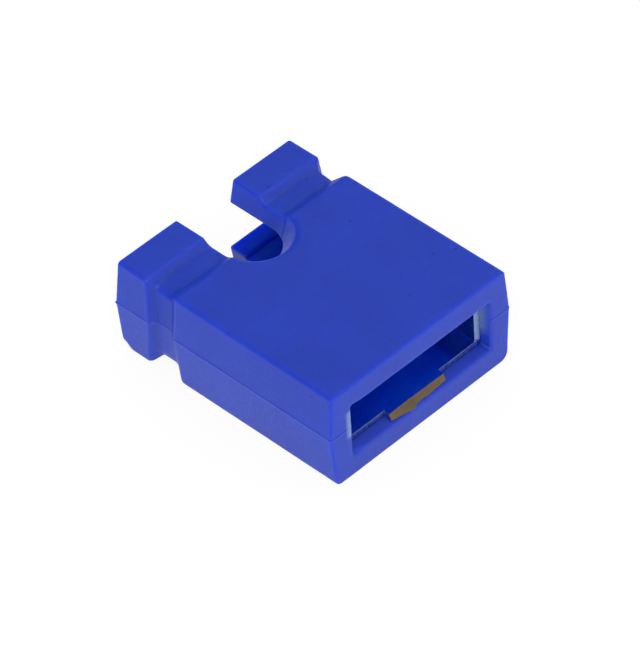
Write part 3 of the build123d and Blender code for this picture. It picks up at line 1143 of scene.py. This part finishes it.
def add_camera(stage):
    """Camera at a long distance above the mouth's left corner."""
    sin_a, cos_a = math.sin(stage.azimuth), math.cos(stage.azimuth)
    sin_e, cos_e = math.sin(stage.elevation), math.cos(stage.elevation)
    back = Vector((sin_a * cos_e, -cos_a * cos_e, sin_e))
    right = Vector((cos_a, sin_a, 0.0))
    turned = Matrix((right, back.cross(right), back)).transposed()
    turned = turned @ Matrix.Rotation(stage.roll, 3, "Z")
    place = in_frame(*CAMERA_TARGET) + turned @ Vector((0.0, 0.0, stage.distance))
    turned = turned @ Vector((0.0, 0.0, -1.0)).rotation_difference(CAMERA_AIM).to_matrix()
    data = bpy.data.cameras.new("camera")
    data.sensor_fit = "HORIZONTAL"
    data.sensor_width = SENSOR
    data.lens = stage.lens
    data.clip_start = CAMERA_NEAR
    data.clip_end = CAMERA_FAR
    camera = bpy.data.objects.new("camera", data)
    camera.matrix_world = Matrix.LocRotScale(place, turned, None)
    bpy.context.scene.collection.objects.link(camera)
    bpy.context.scene.camera = camera


def add_world(stage):
    """White for the camera; brighter on one side for the cap's light and reflections."""
    world = bpy.data.worlds.new("studio")
    world.use_nodes = True
    tree = world.node_tree
    tree.nodes.clear()
    output = tree.nodes.new("ShaderNodeOutputWorld")
    seen = tree.nodes.new("ShaderNodeLightPath")
    way = tree.nodes.new("ShaderNodeTexCoord").outputs["Generated"]

    def background(strength):
        node = shader_node(tree, "ShaderNodeBackground", color=(1, 1, 1, 1))
        if isinstance(strength, float):
            node.inputs["Strength"].default_value = strength
        else:
            tree.links.new(strength, node.inputs["Strength"])
        return node.outputs[0]

    def towards(direction, low, high):
        """Strength that rises smoothly from low to high towards a direction."""
        facing = shader_node(
            tree, "ShaderNodeVectorMath", [("Vector", way)], operation="DOT_PRODUCT"
        )
        facing.inputs[1].default_value = direction
        rise = shader_node(
            tree, "ShaderNodeMapRange", [("Value", facing.outputs["Value"])],
            interpolation_type="SMOOTHSTEP", from_min=DIM_END, from_max=BRIGHT_END,
        )
        return background(spread(tree, rise.outputs["Result"], 0.0, 1.0, low, high))

    def choose(ray, otherwise, shown):
        mix = tree.nodes.new("ShaderNodeMixShader")
        tree.links.new(seen.outputs[ray], mix.inputs[0])
        tree.links.new(otherwise, mix.inputs[1])
        tree.links.new(shown, mix.inputs[2])
        return mix.outputs[0]

    matt = towards(BRIGHT_SIDE, stage.matt_low, stage.matt_high)
    gloss = towards(BRIGHT_REFLECTION, stage.gloss_low, stage.gloss_high)
    lit = choose("Is Camera Ray", choose("Is Glossy Ray", matt, gloss), background(1.0))
    tree.links.new(lit, output.inputs["Surface"])
    bpy.context.scene.world = world


def floor_material(colour):
    """Pale floor that shows white, and keeps a faint shadow of the cap."""
    material = bpy.data.materials.new("white_floor")
    material.use_nodes = True
    tree = material.node_tree
    tree.nodes.clear()
    output = tree.nodes.new("ShaderNodeOutputMaterial")
    seen = tree.nodes.new("ShaderNodeLightPath")
    camera, gloss = seen.outputs["Is Camera Ray"], seen.outputs["Is Glossy Ray"]
    share = combined(tree, "MAXIMUM", combined(tree, "MULTIPLY", camera, FLOOR_GLOW), gloss)
    matt = shader_node(tree, "ShaderNodeBsdfDiffuse", color=opaque(colour))
    place = tree.nodes.new("ShaderNodeTexCoord").outputs["Object"]
    away = shader_node(tree, "ShaderNodeVectorMath", [("Vector", place)], operation="LENGTH")
    near = spread(tree, away.outputs["Value"], *FLOOR_FADE, FLOOR_NEAR, FLOOR_FAR)
    glow = shader_node(
        tree, "ShaderNodeEmission", [("Strength", combined(tree, "MAXIMUM", camera, near))]
    )
    mix = tree.nodes.new("ShaderNodeMixShader")
    for source, socket in zip((share, matt.outputs[0], glow.outputs[0]), mix.inputs):
        tree.links.new(source, socket)
    tree.links.new(mix.outputs[0], output.inputs["Surface"])
    return material


def add_floor(colour):
    mesh = bpy.data.meshes.new("floor")
    corners = [(-1, -1), (1, -1), (1, 1), (-1, 1)]
    mesh.from_pydata([(x * FLOOR_HALF, y * FLOOR_HALF, 0) for x, y in corners], [], [(0, 1, 2, 3)])
    mesh.materials.append(floor_material(colour))
    floor = bpy.data.objects.new("floor", mesh)
    bpy.context.scene.collection.objects.link(floor)


def add_lamp(power):
    """One soft square lamp above the camera's side, aimed at the cap."""
    data = bpy.data.lights.new("soft_lamp", "AREA")
    data.shape = "SQUARE"
    data.size = LAMP_SIZE
    data.energy = power
    lamp = bpy.data.objects.new("soft_lamp", data)
    lamp.location = LAMP_PLACE
    lamp.rotation_euler = LAMP_PLACE.to_track_quat("Z", "Y").to_euler()
    bpy.context.scene.collection.objects.link(lamp)


# ---------------------------------------------------------------- operators and panel


class JUMPERCAP_OT_stage(bpy.types.Operator):
    """Add the camera, the light and the floor"""

    bl_idname = "jumper_cap.stage"
    bl_label = "Stage"

    def execute(self, context):
        stage = settings().stage
        add_camera(stage)
        add_world(stage)
        add_floor(settings().colours.floor)
        add_lamp(stage.lamp_power)
        context.scene.view_settings.view_transform = "Standard"
        return {"FINISHED"}


class JUMPERCAP_OT_housing(bpy.types.Operator):
    """Build the moulded housing in place of its plain node"""

    bl_idname = "jumper_cap.housing"
    bl_label = "Housing"

    def execute(self, context):
        sizes = in_millimetres(settings().housing)
        properties = HousingSizes.bl_rna.properties
        values = {properties[name].name: value for name, value in sizes.items()}
        colours = settings().colours
        values["Outside"] = plastic_material(
            "blue_plastic", colours, colours.plastic, colours.plastic_deep, specular=0.5
        )
        values["Slots"] = plastic_material(
            "dull_blue_plastic", colours, colours.plastic_slot, colours.plastic_slot, specular=0.30
        )
        values["Inside"] = lining_material(colours)
        shell = mesh_from_tree("housing_shell", housing_tree(), values)
        if not shell.data.polygons:
            raise RuntimeError("the housing came out empty")
        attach(shell, BODY)
        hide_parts("housing")
        return {"FINISHED"}


class JUMPERCAP_OT_contact(bpy.types.Operator):
    """Build the folded contact in place of its plain node"""

    bl_idname = "jumper_cap.contact"
    bl_label = "Contact"

    def execute(self, context):
        colours = settings().colours
        size = in_millimetres(settings().contact)
        metals = tin_material(colours), bronze_material(colours), sheared_reflection_material(colours)
        sheet = contact_piece(size, metals)
        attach(sheet, BODY)
        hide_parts("contact")
        return {"FINISHED"}


class JUMPERCAP_PT_sidebar(bpy.types.Panel):
    """Buttons and settings of the jumper cap"""

    bl_idname = "JUMPERCAP_PT_sidebar"
    bl_label = "Jumper Cap"
    bl_space_type = "VIEW_3D"
    bl_region_type = "UI"
    bl_category = "Jumper Cap"

    def draw(self, context):
        for operator in OPERATORS:
            self.layout.operator(operator.bl_idname)
        for name in JumperCapSettings.__annotations__:
            group = getattr(settings(), name)
            box = self.layout.box()
            for item in type(group).__annotations__:
                box.prop(group, item)


OPERATORS = (JUMPERCAP_OT_stage, JUMPERCAP_OT_housing, JUMPERCAP_OT_contact)
GROUPS = (HousingSizes, ContactSizes, CapColours, StageSettings, JumperCapSettings)


def register():
    for kind in (*GROUPS, *OPERATORS, JUMPERCAP_PT_sidebar):
        bpy.utils.register_class(kind)
    bpy.types.Scene.jumper_cap = PointerProperty(type=JumperCapSettings)


def unregister():
    del bpy.types.Scene.jumper_cap
    for kind in reversed((*GROUPS, *OPERATORS, JUMPERCAP_PT_sidebar)):
        bpy.utils.unregister_class(kind)


def main():
    register()
    bpy.ops.jumper_cap.stage()
    bpy.ops.jumper_cap.housing()
    bpy.ops.jumper_cap.contact()


if __name__ == "__main__":
    main()
